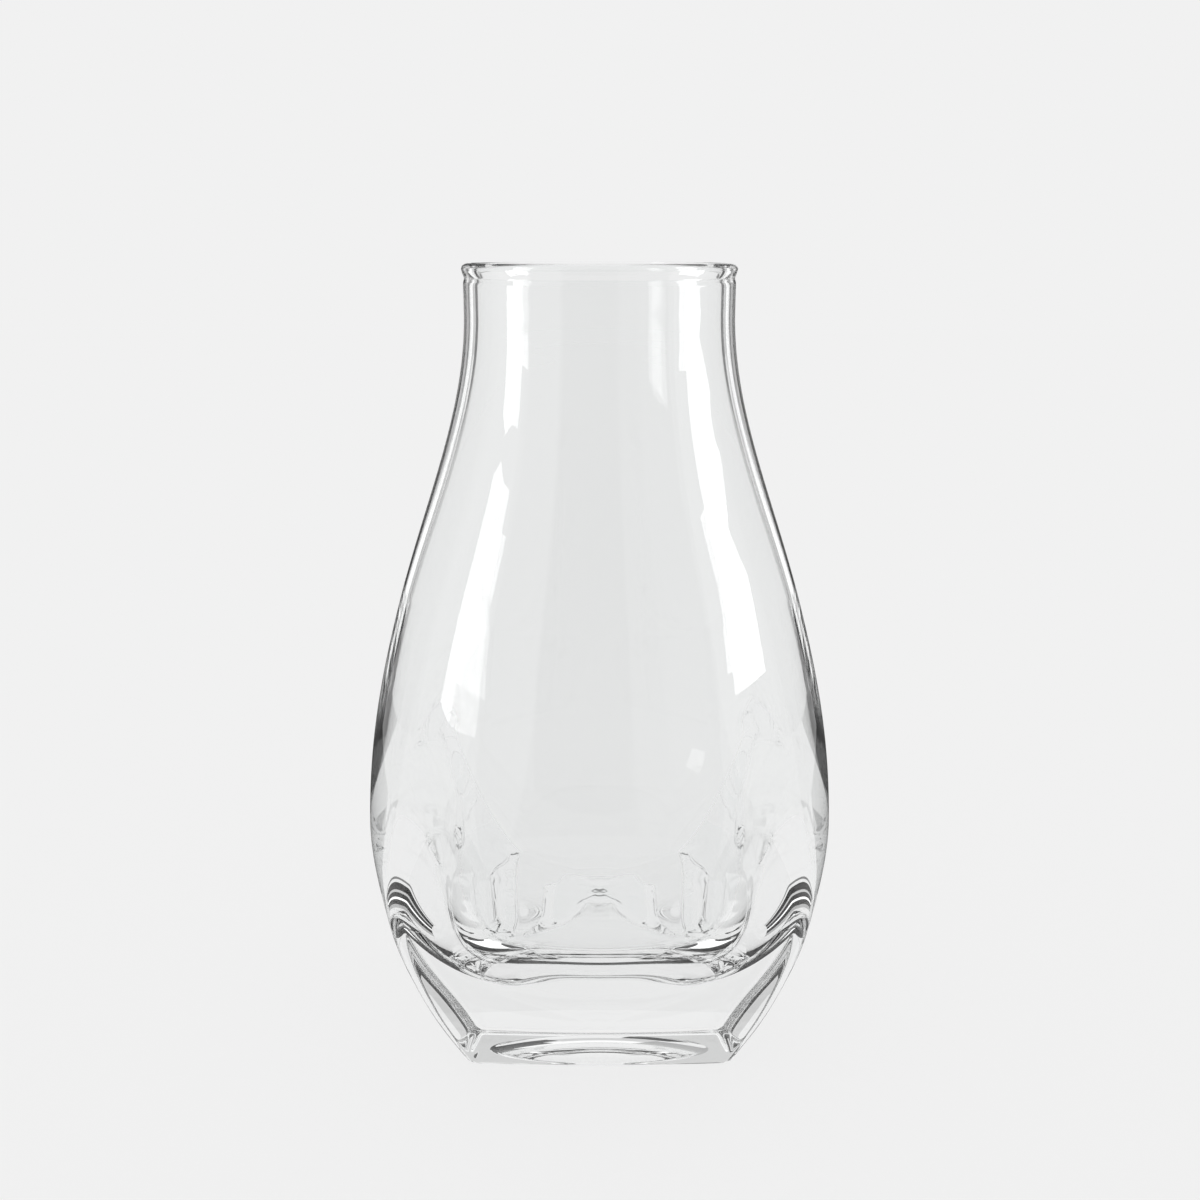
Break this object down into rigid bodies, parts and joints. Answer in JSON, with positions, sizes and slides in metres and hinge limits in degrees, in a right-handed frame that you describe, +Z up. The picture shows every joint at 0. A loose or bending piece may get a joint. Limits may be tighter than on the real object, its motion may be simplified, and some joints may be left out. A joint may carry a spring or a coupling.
{
  "type": "flower vase",
  "caption": "Clear glass flower vase: a thick rounded-square base opens into a round belly and closes to a short open neck with a beaded lip, for cut stems in water.",
  "frame": {"origin": "centre of the foot, in the plane of the table it stands on", "axes": "+Z up along the vase's axis through the open mouth; +X and +Y square to the flats of the base"},
  "size_m": [0.152, 0.152, 0.25],
  "materials": {
    "clear_glass": "clear colourless glass, fire-polished, smooth inside and out"
  },
  "bodies": {
    "root": {"vase_glass": "clear_glass"}
  },
  "joints": []
}
